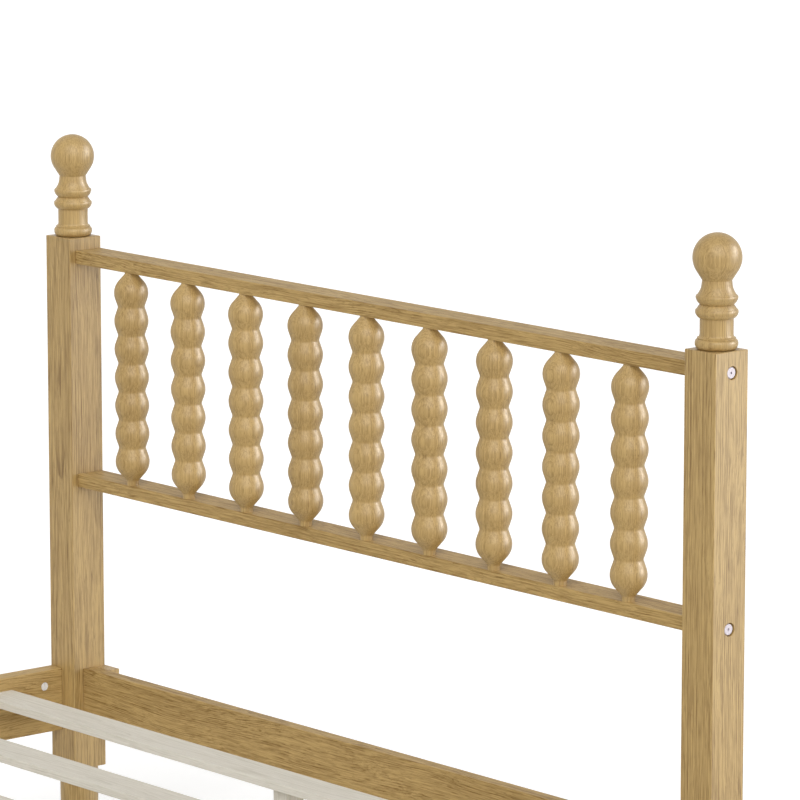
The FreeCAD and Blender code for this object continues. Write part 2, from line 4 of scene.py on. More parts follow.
import bpy
from mathutils import Matrix, Vector


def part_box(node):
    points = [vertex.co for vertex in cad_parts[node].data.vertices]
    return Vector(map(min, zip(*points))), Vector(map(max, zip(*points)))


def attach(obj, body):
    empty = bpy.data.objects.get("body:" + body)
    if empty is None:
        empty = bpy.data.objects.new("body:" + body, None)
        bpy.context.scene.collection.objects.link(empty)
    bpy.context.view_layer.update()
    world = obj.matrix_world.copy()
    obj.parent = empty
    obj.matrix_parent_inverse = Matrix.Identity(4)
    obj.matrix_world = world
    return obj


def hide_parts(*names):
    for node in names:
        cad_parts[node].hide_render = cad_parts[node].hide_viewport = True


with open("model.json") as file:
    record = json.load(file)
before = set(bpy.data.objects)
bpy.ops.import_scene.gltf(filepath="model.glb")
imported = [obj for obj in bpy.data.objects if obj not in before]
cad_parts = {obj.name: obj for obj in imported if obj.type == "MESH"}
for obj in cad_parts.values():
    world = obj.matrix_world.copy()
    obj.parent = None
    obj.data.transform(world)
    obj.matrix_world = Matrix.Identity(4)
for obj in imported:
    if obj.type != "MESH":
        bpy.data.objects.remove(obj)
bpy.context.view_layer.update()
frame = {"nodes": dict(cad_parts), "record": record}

bl_info = {
    "name": "Spindle bed",
    "version": (1, 0, 0),
    "blender": (4, 5, 0),
    "location": "3D View > Sidebar > Bed",
    "description": "Dresses a spindle bed with turned parts, wood grain and fittings",
    "category": "Object",
}

# The bed stands on Z = 0, its head end towards +Y. Lengths are in metres.

NODES = frame["nodes"]
ENDS = {"head": 1, "foot": -1}
SIDES = {"left": -1, "right": 1}
CORNERS = [(end, side) for end in ENDS.values() for side in SIDES.values()]
SPINDLES = 9
SLATS = 9

# The two end frames, the side rails and the slats, read from the frame.
POST_LOW, POST_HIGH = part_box("head_post_right")
INNER_X = POST_LOW.x
HALF_WIDTH = POST_HIGH.x
POST_FACE = POST_LOW.y
POST_BACK = POST_HIGH.y
POST_AXIS = Vector(((POST_LOW.x + POST_HIGH.x) / 2, (POST_LOW.y + POST_HIGH.y) / 2))
SIDE_LOW, SIDE_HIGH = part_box("side_rail_right")
SIDE_MIDDLE = (SIDE_LOW + SIDE_HIGH) / 2
LEDGER_LOW, LEDGER_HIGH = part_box("ledger_right")
LEDGER_MIDDLE = (LEDGER_LOW + LEDGER_HIGH) / 2
BOARD_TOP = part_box("head_board")[1].z
CLEAT_LOW, CLEAT_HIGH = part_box("head_cleat_right")
CLEAT_MIDDLE = (CLEAT_LOW + CLEAT_HIGH) / 2
SLAT_LOW, SLAT_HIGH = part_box("slat_1")

# ---- bolts of the cross rails and their nuts ----
RAIL_BOLT_BACK = 0.0335    # axis behind the post's bed side
RAIL_BOLT_RADIUS = 0.0030
RAIL_BOLT_LENGTH = 0.098   # under the head
RAIL_HEAD_RADIUS = 0.0085
RAIL_HEAD = 0.0026         # thickness of the head
RAIL_SINK = 0.0046         # depth of the hole that takes the head
RAIL_NUT_RADIUS = 0.0050
RAIL_NUT_LENGTH = 0.015
RAIL_NUT_HOLE = 0.0032     # radius of its cross hole
RAIL_NUT_IN = 0.0310       # rail's end to the nut

# ---- bolts of the side rails and their nuts ----
SIDE_BOLT_DROPS = (0.027, 0.080)   # side rail's top down to each bolt
SIDE_BOLT_RADIUS = 0.0040
SIDE_BOLT_LENGTH = 0.108
SIDE_HEAD_RADIUS = 0.0090
SIDE_HEAD = 0.0034
SIDE_SINK = 0.0060
SIDE_NUT_RADIUS = 0.0072
SIDE_NUT_LENGTH = 0.026
SIDE_NUT_HOLE = 0.0042
SIDE_NUT_HOLE_UP = 0.0149  # nut's slotted end to the cross hole
SIDE_NUT_IN = 0.0366
SIDE_NUT_SINK = 0.0006     # nut's end below the rail's inner face
NUT_SLOT = 0.0018

# ---- countersunk wood screws ----
SCREW_HEAD_RADIUS = 0.0040
SCREW_RIM = 0.00015        # rounding of the head's edge
SCREW_HEAD_DEPTH = 0.0026
SCREW_RADIUS = 0.0020
SCREW_POINT = 0.005
SCREW_TIP_RADIUS = 0.0003
SCREW_CROSS = (0.0044, 0.0009, 0.0030)   # length, width, depth of the cut
SHORT_SCREW = 0.030        # slat into ledger
MEDIUM_SCREW = 0.038       # cleat into board, ledger into side rail
LONG_SCREW = 0.058         # cleat into post
CLEAT_INSETS = (0.014, 0.058)      # cleat's top down to each long screw
BOARD_INSETS = (0.027, 0.071)      # cleat's top down to each medium screw


# ---------------------------------------------------------------- settings

def length(name, default, description):
    return bpy.props.FloatProperty(name=name, default=default, min=0.0,
                                   precision=4, unit="LENGTH",
                                   description=description)


def slope(name, default, description):
    return bpy.props.FloatProperty(name=name, default=math.radians(default),
                                   subtype="ANGLE", description=description)


def colour(name, red, green, blue, description):
    """A colour given as 8-bit display values and stored as a linear colour."""
    linear = [to_linear(value / 255) for value in (red, green, blue)]
    return bpy.props.FloatVectorProperty(name=name, default=linear, size=3,
                                         min=0.0, max=1.0, subtype="COLOR",
                                         description=description)


def to_linear(value):
    if value <= 0.04045:
        return value / 12.92
    return ((value + 0.055) / 1.055) ** 2.4


class BedTurning(bpy.types.PropertyGroup):
    """Profiles of the turned spindles and finials"""

    bead_radius: length("Bead radius", 0.0282, "Spindle radius at the middle of a bead")
    bead_pitch: length("Bead pitch", 0.0472, "Distance between two beads")
    bead_arc: length("Bead arc", 0.0320, "Profile radius of a bead's round middle")
    bead_steep: slope("Bead side", 19.0, "Straight side of a bead, off the axis")
    groove_arc: length("Groove arc", 0.0070, "Radius of the hollow between beads")
    end_arc: length("End arc", 0.0291, "Profile radius of a spindle's ends")
    end_steep: slope("End side", 41.0, "Straight side of the ends, off the axis")
    neck_hollow: length("Neck hollow", 0.0048, "Hollow between an end and its neck")
    neck_radius: length("Neck radius", 0.0102, "Spindle radius next to a rail")
    lower_neck: length("Lower neck", 0.0397, "Rail to the middle of the first bead")
    upper_neck: length("Upper neck", 0.0335, "Middle of the last bead to the rail")
    peg_radius: length("Peg radius", 0.0065, "Peg at each end of a spindle")
    peg_length: length("Peg length", 0.0140, "Length of a spindle's peg")
    ball_radius: length("Ball radius", 0.0362, "Ball on top of a finial")
    ball_height: length("Ball height", 0.1340, "Post's top to the middle of the ball")
    stem_radius: length("Stem radius", 0.0247, "Straight stem of a finial")
    sides: bpy.props.IntProperty(name="Sides", default=64, min=12, max=256,
                                 description="Faces round a turned piece")


class BedFinish(bpy.types.PropertyGroup):
    """Colours of the wood and of the fittings"""

    oak_pale: colour("Oak, pale", 189, 159, 103, "Early wood of the finished oak")
    # the oak's pore colour also paints the shadow at the rails' ends against the posts
    oak_dark: colour("Oak, dark", 128, 99, 54, "Late wood of the finished oak")
    oak_pore_and_shade: colour("Oak, pores", 100, 74, 40, "Open pores of the finished oak")
    raw_pale: colour("Raw, pale", 219, 214, 202, "Early wood of the raw slats")
    raw_dark: colour("Raw, dark", 192, 186, 170, "Late wood of the raw slats")
    raw_pore: colour("Raw, pores", 168, 160, 142, "Pores of the raw slats")
    zinc: colour("Zinc", 242, 241, 240, "Bright zinc plate of the fittings")
    # painted shade: the bolt head colour is the same zinc made darker, because the heads
    # sit on the posts' brightly lit outer faces
    zinc_head_painted_dim: colour("Bolt head", 198, 190, 197, "Duller plate of the bolt heads")
    floor: colour("Floor", 240, 240, 239, "Studio floor")


class BedStage(bpy.types.PropertyGroup):
    """Camera and lights"""

    aim: bpy.props.FloatVectorProperty(
        name="Aim", default=(0.0, 1.0435, 0.714), size=3, subtype="TRANSLATION",
        description="Point of the bed that the camera is placed from")
    azimuth: bpy.props.FloatProperty(
        name="Azimuth", default=math.radians(49.55), subtype="ANGLE",
        description="Camera's turn to the right of the bed's length")
    elevation: bpy.props.FloatProperty(
        name="Elevation", default=math.radians(9.86), subtype="ANGLE",
        description="Camera's tilt downwards")
    distance: length("Distance", 8.0114, "Camera to the aim, along the view")
    aim_column: bpy.props.FloatProperty(
        name="Aim column", default=371.57,
        description="Where the aim is seen, from the left")
    aim_row: bpy.props.FloatProperty(
        name="Aim row", default=492.62,
        description="Where the aim is seen, from the top")
    focal_pixels: bpy.props.FloatProperty(
        name="Focal length", default=5100.85, description="Focal length in pixels")
    key_strength: bpy.props.FloatProperty(
        name="Key light", default=1.60, min=0.0,
        description="Strength of the soft key light")
    rim_strength: bpy.props.FloatProperty(
        name="Rim lights", default=2.5, min=0.0,
        description="Strength of the lights that only draw highlights")
    panel_power: bpy.props.FloatProperty(
        name="Panel light", default=22.0, min=0.0, subtype="POWER",
        description="Power of the broad panel at the right of the head end")
    sky_strength: bpy.props.FloatProperty(
        name="Sky light", default=0.58, min=0.0,
        description="Strength of the even light")


# ------------------------------------------------------------ mesh helpers

SMOOTH_ANGLE = math.radians(35)


def deselect():
    if bpy.context.object and bpy.context.object.mode != "OBJECT":
        bpy.ops.object.mode_set(mode="OBJECT")
    bpy.ops.object.select_all(action="DESELECT")


def pick(piece):
    deselect()
    piece.select_set(True)
    bpy.context.view_layer.objects.active = piece


def settle(piece, name):
    """Name a new piece, put its place into its mesh and shade it."""
    pick(piece)
    piece.name = name
    piece.data.name = name
    bpy.ops.object.transform_apply(location=True, rotation=True, scale=True)
    bpy.ops.object.shade_smooth_by_angle(angle=SMOOTH_ANGLE)
    return piece


def copied(piece, name, matrix):
    """A copy with its own mesh, moved in its mesh."""
    twin = piece.copy()
    twin.data = piece.data.copy()
    twin.data.transform(matrix)
    if matrix.determinant() < 0:
        twin.data.flip_normals()
    twin.name = name
    twin.data.name = name
    bpy.context.collection.objects.link(twin)
    return twin


def joined(pieces, name):
    """Several pieces as one."""
    deselect()
    for piece in pieces:
        piece.select_set(True)
    bpy.context.view_layer.objects.active = pieces[0]
    bpy.ops.object.join()
    whole = bpy.context.object
    whole.name = name
    whole.data.name = name
    return whole


def material(slot):
    return bpy.data.materials["finish_" + slot]


def dressed(piece, slot, node):
    """Give a piece its finish, hang it under the root and hide the node it stands for."""
    piece.data.materials.clear()
    piece.data.materials.append(material(slot))
    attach(piece, "root")
    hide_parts(node)


def turned(name, centre, profile, sides, pole=False):
    """A disc extruded ring by ring up a profile of (radius, height) pairs."""
    radius, height = profile[0]
    deselect()
    bpy.ops.mesh.primitive_circle_add(vertices=sides, radius=radius,
                                      fill_type="NGON",
                                      location=(centre.x, centre.y, height))
    bpy.ops.object.mode_set(mode="EDIT")
    bpy.ops.mesh.select_all(action="SELECT")
    for next_radius, next_height in profile[1:]:
        bpy.ops.mesh.extrude_region_move(
            TRANSFORM_OT_translate={"value": (0, 0, next_height - height)})
        scale = next_radius / radius
        bpy.ops.transform.resize(value=(scale, scale, 1),
                                 center_override=(centre.x, centre.y, next_height))
        radius, height = next_radius, next_height
    if pole:
        bpy.ops.mesh.merge(type="CENTER")
    bpy.ops.mesh.select_all(action="SELECT")
    bpy.ops.mesh.normals_make_consistent(inside=False)
    bpy.ops.object.mode_set(mode="OBJECT")
    return settle(bpy.context.object, name)


def cut_away(piece, tool):
    """Cut one solid out of another and remove the cutter."""
    pick(piece)
    cut = piece.modifiers.new("cut", "BOOLEAN")
    cut.operation = "DIFFERENCE"
    cut.solver = "EXACT"
    cut.object = tool
    bpy.ops.object.modifier_apply(modifier=cut.name)
    bpy.data.objects.remove(tool)


# ---------------------------------------------------------------- profiles

ROUND_STEPS = 6            # points on half a bead's round middle
HOLLOW_STEPS = 3           # points on half a groove between beads


def arc(centre_radius, centre_height, radius, start, end, steps):
    """Points of a profile arc; its first point is left out."""
    points = []
    for index in range(1, steps + 1):
        angle = start + (end - start) * index / steps
        points.append((centre_radius + radius * math.cos(angle),
                       centre_height + radius * math.sin(angle)))
    return points


def swelling(start, end, rise, steps):
    """Points of an arc from start to end that swells outwards by rise."""
    along = Vector(end) - Vector(start)
    chord = along.length
    along.normalize()
    out = Vector((along.y, -along.x)) * math.copysign(1, rise)
    rise = abs(rise)
    radius = (chord * chord / 4 + rise * rise) / (2 * rise)
    half = 2 * math.atan2(2 * rise, chord)
    middle = (Vector(start) + Vector(end)) / 2
    points = []
    for index in range(1, steps + 1):
        angle = -half + 2 * half * index / steps
        point = middle + along * radius * math.sin(angle)
        point += out * radius * (math.cos(angle) - math.cos(half))
        points.append((point.x, point.y))
    return points


def bead_side(turning, arc_radius, steep, hollow, floor):
    """Side of a bead from its middle outwards, as (radius, reach) points:
    a round arc, a straight side and a hollow that ends at the floor radius."""
    side = []
    for step in range(ROUND_STEPS + 1):
        angle = steep * step / ROUND_STEPS
        side.append((turning.bead_radius - arc_radius * (1 - math.cos(angle)),
                     arc_radius * math.sin(angle)))
    round_radius, round_reach = side[-1]
    hollow_top = floor + hollow * (1 - math.cos(steep))
    straight = (round_radius - hollow_top) / math.tan(steep)
    end = round_reach + straight + hollow * math.sin(steep)
    for step in range(HOLLOW_STEPS, -1, -1):
        angle = steep * step / HOLLOW_STEPS
        side.append((floor + hollow * (1 - math.cos(angle)),
                     end - hollow * math.sin(angle)))
    return side


def groove_floor(turning):
    """Radius at the floor of the groove midway between two beads."""
    steep = turning.bead_steep
    round_radius = turning.bead_radius - turning.bead_arc * (1 - math.cos(steep))
    reach = (turning.bead_arc + turning.groove_arc) * math.sin(steep)
    hollow_top = round_radius - (turning.bead_pitch / 2 - reach) * math.tan(steep)
    return hollow_top - turning.groove_arc * (1 - math.cos(steep))


def spindle_profile(turning, beads, foot_height):
    """From the lower peg up over the beads to the upper peg."""
    outer = bead_side(turning, turning.end_arc, turning.end_steep,
                      turning.neck_hollow, turning.neck_radius)
    inner = bead_side(turning, turning.bead_arc, turning.bead_steep,
                      turning.groove_arc, groove_floor(turning))
    first = foot_height + turning.lower_neck
    top = first + (beads - 1) * turning.bead_pitch + turning.upper_neck
    points = [(turning.peg_radius, foot_height - turning.peg_length),
              (turning.peg_radius, foot_height),
              (turning.neck_radius, foot_height)]
    for index in range(beads):
        middle = first + index * turning.bead_pitch
        below = outer if index == 0 else inner[:-1]
        above = outer if index == beads - 1 else inner
        points += [(radius, middle - reach) for radius, reach in reversed(below)]
        points += [(radius, middle + reach) for radius, reach in above[1:]]
    points += [(turning.neck_radius, top),
               (turning.peg_radius, top),
               (turning.peg_radius, top + turning.peg_length)]
    return points


FINIAL_PEG_RADIUS = 0.0090
FINIAL_PEG_LENGTH = 0.0280
FINIAL_STEM = 0.0247       # the stem's radius in the line below
BALL_END = math.radians(87)        # the last ring is drawn together at the top
BALL_STEPS = 26

# A finial above its peg: radius, height over the post, rise, points on the way.
FINIAL_LINE = (
    (0.0250, 0.0000, 0, 1), (0.0316, 0.0088, 0.0021, 6), (0.0288, 0.0150, 0.0010, 4),
    (0.0280, 0.0155, 0, 1), (0.0284, 0.0159, 0, 1), (0.0284, 0.0172, 0, 1),
    (0.0247, 0.0216, -0.0009, 4), (0.0247, 0.0453, 0, 1),
    (0.0316, 0.0546, 0.0015, 7), (0.0307, 0.0584, 0.0003, 3), (0.0295, 0.0588, 0, 1),
    (0.0247, 0.0657, 0.0003, 4), (0.0310, 0.0760, 0.0012, 7),
    (0.0301, 0.0789, 0.0002, 3), (0.0289, 0.0793, 0, 1),
    (0.0235, 0.0892, -0.0003, 4), (0.0219, 0.1010, -0.0002, 4))


def finial_profile(turning, seat):
    """From the peg up over base bead, stem, two beads and neck to the ball."""
    points = [(FINIAL_PEG_RADIUS, seat - FINIAL_PEG_LENGTH), (FINIAL_PEG_RADIUS, seat)]
    swell = turning.stem_radius - FINIAL_STEM
    for radius, height, rise, steps in FINIAL_LINE:
        point = (radius + swell, seat + height)
        if rise:
            points += swelling(points[-1], point, rise, steps)
        else:
            points.append(point)
    neck_radius, neck_top = points[-1]
    centre = seat + turning.ball_height
    drop = centre - neck_top
    reach = math.hypot(neck_radius, drop)
    touch = math.acos(turning.ball_radius / reach) + math.atan2(neck_radius, drop)
    start = touch - math.pi / 2
    points.append((turning.ball_radius * math.cos(start),
                   centre + turning.ball_radius * math.sin(start)))
    points += arc(0, centre, turning.ball_radius, start, BALL_END, BALL_STEPS)
    return points


# ---------------------------------------------------------------- fittings

FITTING_SIDES = 48
SCREW_SIDES = 24
HOLE_SIDES = 32
SOCKET_SHARE = 0.713       # hexagon socket's corners, of the shank's radius
NUT_EASE = 0.06            # eased edge of a nut, of its radius
SPIN_STEP = math.radians(37)       # turn from one fitting to the next


def hex_bolt(name, head_radius, head_height, shank_radius, shank_length):
    """Joint bolt along +Z: the head's outer face is at Z = 0. Its edges are
    eased by shares of the head and of the shank."""
    profile = [(head_radius * 0.93, 0.0), (head_radius, head_height * 0.25),
               (head_radius, head_height * 0.85), (head_radius * 0.96, head_height),
               (shank_radius * 1.25, head_height), (shank_radius, head_height * 1.3),
               (shank_radius, head_height + shank_length * 0.97),
               (shank_radius * 0.8, head_height + shank_length)]
    bolt = turned(name, Vector((0, 0)), profile, FITTING_SIDES)
    deselect()
    bpy.ops.mesh.primitive_cylinder_add(vertices=6, radius=shank_radius * SOCKET_SHARE,
                                        depth=head_height * 1.8, location=(0, 0, 0))
    cut_away(bolt, bpy.context.object)
    return settle(bolt, name)


def barrel_nut(name, radius, height, hole_radius, hole_height):
    """Cross nut along +Z with a slotted end at Z = 0 and a cross hole."""
    ease = radius * NUT_EASE
    profile = [(radius - ease, 0.0), (radius, ease),
               (radius, height - ease), (radius - ease, height)]
    nut = turned(name, Vector((0, 0)), profile, FITTING_SIDES)
    deselect()
    bpy.ops.mesh.primitive_cube_add(size=1, location=(0, 0, 0),
                                    scale=(radius * 3, NUT_SLOT, NUT_SLOT * 2))
    cut_away(nut, bpy.context.object)
    deselect()
    bpy.ops.mesh.primitive_cylinder_add(vertices=HOLE_SIDES, radius=hole_radius,
                                        depth=radius * 3,
                                        location=(0, 0, hole_height),
                                        rotation=(math.radians(90), 0, 0))
    cut_away(nut, bpy.context.object)
    return settle(nut, name)


def cross_screw(name, screw_length):
    """Countersunk wood screw along +Z with a cross recess; head at Z = 0."""
    profile = [(SCREW_HEAD_RADIUS - SCREW_RIM, 0.0), (SCREW_HEAD_RADIUS, SCREW_RIM),
               (SCREW_RADIUS, SCREW_HEAD_DEPTH),
               (SCREW_RADIUS, screw_length - SCREW_POINT),
               (SCREW_TIP_RADIUS, screw_length)]
    screw = turned(name, Vector((0, 0)), profile, SCREW_SIDES)
    for turn in (20, 110):
        deselect()
        bpy.ops.mesh.primitive_cube_add(size=1, location=(0, 0, 0), scale=SCREW_CROSS,
                                        rotation=(0, 0, math.radians(turn)))
        cut_away(screw, bpy.context.object)
    return settle(screw, name)


def aimed(origin, direction, spin=0.0):
    """Matrix that turns +Z to a direction, after a spin about it."""
    turn = Vector((0, 0, 1)).rotation_difference(Vector(direction)).to_matrix().to_4x4()
    return Matrix.Translation(origin) @ turn @ Matrix.Rotation(spin, 4, "Z")


def spun(places):
    """Matrices for fittings at their places, each turned on from the last."""
    return [aimed(Vector(origin), direction, SPIN_STEP * index)
            for index, (origin, direction) in enumerate(places)]


def set_out(master, node, turns):
    """Copies of one fitting at every place, joined to one piece."""
    copies = [copied(master, "%s_%d" % (node, index), turn)
              for index, turn in enumerate(turns)]
    bpy.data.objects.remove(master)
    dressed(joined(copies, "fitted_" + node), "bright_zinc", node)


# ------------------------------------------------------------ wood material

class Net:
    """Short ways to add and join the nodes of one material."""

    def __init__(self, name):
        self.material = bpy.data.materials.new("finish_" + name)
        self.material.use_nodes = True
        self.tree = self.material.node_tree
        self.tree.nodes.clear()
        output = self.add("ShaderNodeOutputMaterial")
        self.shader = self.add("ShaderNodeBsdfPrincipled")
        self.join(self.shader.outputs[0], output.inputs["Surface"])

    def add(self, kind, **settings):
        node = self.tree.nodes.new(kind)
        for key, value in settings.items():
            setattr(node, key, value)
        return node

    def join(self, source, target):
        self.tree.links.new(source, target)

    def feed(self, target, value):
        if isinstance(value, bpy.types.NodeSocket):
            self.join(value, target)
        else:
            target.default_value = value

    def math(self, operation, first, second=None, clamp=False):
        node = self.add("ShaderNodeMath", operation=operation, use_clamp=clamp)
        self.feed(node.inputs[0], first)
        if second is not None:
            self.feed(node.inputs[1], second)
        return node.outputs[0]

    def vector(self, operation, first, second=None):
        node = self.add("ShaderNodeVectorMath", operation=operation)
        self.feed(node.inputs[0], first)
        if second is not None:
            self.feed(node.inputs[1], second)
        return node.outputs[0]

    def noise(self, place, detail=3.0, roughness=0.5):
        node = self.add("ShaderNodeTexNoise")
        self.join(place, node.inputs["Vector"])
        node.inputs["Scale"].default_value = 1.0
        node.inputs["Detail"].default_value = detail
        node.inputs["Roughness"].default_value = roughness
        return node.outputs["Fac"]

    def range(self, value, low, high, to_low=0.0, to_high=1.0):
        node = self.add("ShaderNodeMapRange", interpolation_type="SMOOTHSTEP")
        self.join(value, node.inputs["Value"])
        node.inputs["From Min"].default_value = low
        node.inputs["From Max"].default_value = high
        node.inputs["To Min"].default_value = to_low
        node.inputs["To Max"].default_value = to_high
        return node.outputs["Result"]

    def mix(self, share, first, second):
        node = self.add("ShaderNodeMix", data_type="RGBA")
        self.feed(node.inputs["Factor"], share)
        self.feed(node.inputs["A"], first)
        self.feed(node.inputs["B"], second)
        return node.outputs["Result"]


def rgba(value):
    return (value[0], value[1], value[2], 1.0)


def net_axis(net, place, axis):
    """One coordinate of a place."""
    split = net.add("ShaderNodeSeparateXYZ")
    net.join(place, split.inputs[0])
    return split.outputs[axis]


# Noise of the wood: cells per metre along the grain and across it.
SWAY = (1.6, 9.0)
RIPPLE = (9.0, 60.0)
STREAK = (9.0, 320.0)
DASH = (24.0, 620.0)
PATCH = (2.2, 75.0)
CLOUD = (1.3, 11.0)
FINE = (34.0, 1500.0)

SWAY_REACH = 0.030         # how far the fibres wander off their axis
RIPPLE_REACH = 0.0042
PITH_NEAR = 0.055          # least distance of the pith from a piece's middle
PITH_SPREAD = 0.05
PITH_SHIFT = 0.12
RUN_SPREAD = 7.0           # offset along the grain from piece to piece
# painted shadow at a rail's end: where it starts and where it is full, from the post's
# face
PAINTED_SHADE_START = 0.0018       # shade at a rail's end, from the post's face
PAINTED_SHADE_FULL = 0.0004
PORE_DEPTH = 0.00006


# joint, when given, is the post's face, where a rail's end gets a painted shadow in the
# pore colour
def wood(name, along, cell, pale, dark, pore_and_shade, ring=0.0034, contrast=1.0,
         tone=0.0, wave=1.0, joint=None, roughness=0.38, gloss=0.42, pores=1.0):
    """Solid wood. The grain runs along one axis, and each cell of space is
    its own piece of timber, so neighbouring pieces differ."""
    net = Net(name)
    place = net.add("ShaderNodeTexCoord").outputs["Object"]
    steps = net.vector("ADD", net.vector("DIVIDE", place, cell), (0.5, 0.5, 0.5))
    index = net.vector("FLOOR", steps)
    local = net.vector("SUBTRACT", place, net.vector("MULTIPLY", index, cell))
    chance = net.add("ShaderNodeTexWhiteNoise", noise_dimensions="3D")
    net.join(index, chance.inputs["Vector"])
    luck = net.add("ShaderNodeSeparateColor")
    net.join(chance.outputs["Color"], luck.inputs[0])

    split = net.add("ShaderNodeSeparateXYZ")
    net.join(local, split.inputs[0])
    axes = {"X": (0, 1, 2), "Y": (1, 0, 2), "Z": (2, 0, 1)}[along]
    run = net.math("ADD", split.outputs[axes[0]],
                   net.math("MULTIPLY", luck.outputs[0], RUN_SPREAD))
    shift_a = net.math("MULTIPLY", net.math("SUBTRACT", luck.outputs[1], 0.5),
                       PITH_SHIFT)
    shift_b = net.math("ADD", net.math("MULTIPLY", luck.outputs[2], PITH_SPREAD),
                       PITH_NEAR)
    side_a = net.math("ADD", split.outputs[axes[1]], shift_a)
    side_b = net.math("ADD", split.outputs[axes[2]], shift_b)

    def grained(scales, detail, rough=0.5):
        """Noise that is drawn out along the grain."""
        node = net.add("ShaderNodeCombineXYZ")
        net.join(net.math("MULTIPLY", run, scales[0]), node.inputs[0])
        net.join(net.math("MULTIPLY", side_a, scales[1]), node.inputs[1])
        net.join(net.math("MULTIPLY", side_b, scales[1]), node.inputs[2])
        return net.noise(node.outputs[0], detail, rough)

    # the fibres wander off the axis, and rings and dashes go with them
    sway = net.math("MULTIPLY", net.math("SUBTRACT", grained(SWAY, 2.0), 0.5),
                    SWAY_REACH * wave)
    ripple = net.math("MULTIPLY", net.math("SUBTRACT", grained(RIPPLE, 3.0), 0.5),
                      RIPPLE_REACH * wave)
    drift = net.math("ADD", sway, ripple)
    side_a = net.math("ADD", side_a, drift)
    side_b = net.math("ADD", side_b, drift)

    # growth rings round a pith that lies outside the piece
    radius = net.math("SQRT", net.math("ADD", net.math("MULTIPLY", side_a, side_a),
                                       net.math("MULTIPLY", side_b, side_b)))
    depth = net.math("DIVIDE", radius, ring)
    late = net.math("POWER", net.math("FRACT", depth), 2.6)
    fade = net.range(net.math("FRACT", depth), 0.93, 1.0, 1.0, 0.0)
    late = net.math("MULTIPLY", late, fade)

    # dark wood: rings in patches, streaks, dashes and broad clouds
    streak = grained(STREAK, 3.0, 0.6)
    dash = grained(DASH, 2.0, 0.55)
    strength = net.range(grained(PATCH, 1.0), 0.35, 0.68, 0.15, 1.0)
    share = net.math("MULTIPLY", net.math("MULTIPLY", late, strength), 0.72 * contrast)
    share = net.math("ADD", share, net.range(streak, 0.36, 0.70, -0.10 * contrast,
                                             0.42 * contrast))
    share = net.math("ADD", share, net.range(dash, 0.46, 0.70, -0.06 * contrast,
                                             0.40 * contrast))
    share = net.math("ADD", share, net.math("MULTIPLY", luck.outputs[0], 0.12))
    share = net.math("ADD", share, net.range(grained(CLOUD, 2.0), 0.3, 0.7,
                                             tone - 0.09, tone + 0.06), clamp=True)
    body = net.mix(share, rgba(pale), rgba(dark))
    open_pores = net.math("MULTIPLY", net.range(grained(FINE, 2.0, 0.6), 0.56, 0.74),
                          net.range(late, 0.0, 0.6, 0.75 * pores, 0.35 * pores))
    body = net.mix(open_pores, body, rgba(pore_and_shade))
    if joint is not None:
        # painted shadow: the eased ends of a rail are darkened towards the pore colour
        # against the post
        end = net.math("ABSOLUTE", net_axis(net, place, along))
        body = net.mix(net.range(end, joint - PAINTED_SHADE_START, joint - PAINTED_SHADE_FULL, 0.0, 0.7),
                       body, rgba(pore_and_shade))
    net.join(body, net.shader.inputs["Base Color"])
    net.join(net.range(streak, 0.3, 0.7, roughness - 0.04, roughness + 0.06),
             net.shader.inputs["Roughness"])
    net.shader.inputs["IOR"].default_value = 1.45
    net.shader.inputs["Specular IOR Level"].default_value = gloss

    relief = net.math("SUBTRACT", net.math("MULTIPLY", late, 0.35), open_pores)
    lift = net.add("ShaderNodeBump")
    lift.inputs["Strength"].default_value = 0.35
    lift.inputs["Distance"].default_value = PORE_DEPTH
    net.join(relief, lift.inputs["Height"])
    net.join(lift.outputs[0], net.shader.inputs["Normal"])
    return net.material


def zinc(name, tint, head_painted_dim):
    """Zinc plate with a faint clouding. The rail bolt heads on the posts' brightly lit
    outer faces take a darker tint: painted shade that holds their stronger light down.
    """
    net = Net(name)
    place = net.add("ShaderNodeTexCoord").outputs["Object"]
    cloud = net.noise(net.vector("MULTIPLY", place, (900.0, 900.0, 900.0)), 3.0)
    reach = net.math("ABSOLUTE", net_axis(net, place, "X"))
    # painted shade: pieces near the posts' outer faces, the rail bolt heads, take the
    # darker head colour
    plate = net.mix(net.range(reach, SIDE_MIDDLE.x, HALF_WIDTH - RAIL_SINK),
                    rgba(tint), rgba(head_painted_dim))
    shade = net.range(cloud, 0.35, 0.65, 0.14, 0.0)
    net.join(net.mix(shade, plate, (0, 0, 0, 1)), net.shader.inputs["Base Color"])
    net.join(net.range(cloud, 0.3, 0.7, 0.38, 0.50), net.shader.inputs["Roughness"])
    net.shader.inputs["Metallic"].default_value = 0.10
    return net.material


# --------------------------------------------------------------- operators

ONE_CELL = 4.0             # a cell of timber that is wider than the bed
RAIL_CELL = 0.125          # a cell's height that no cross rail lies across


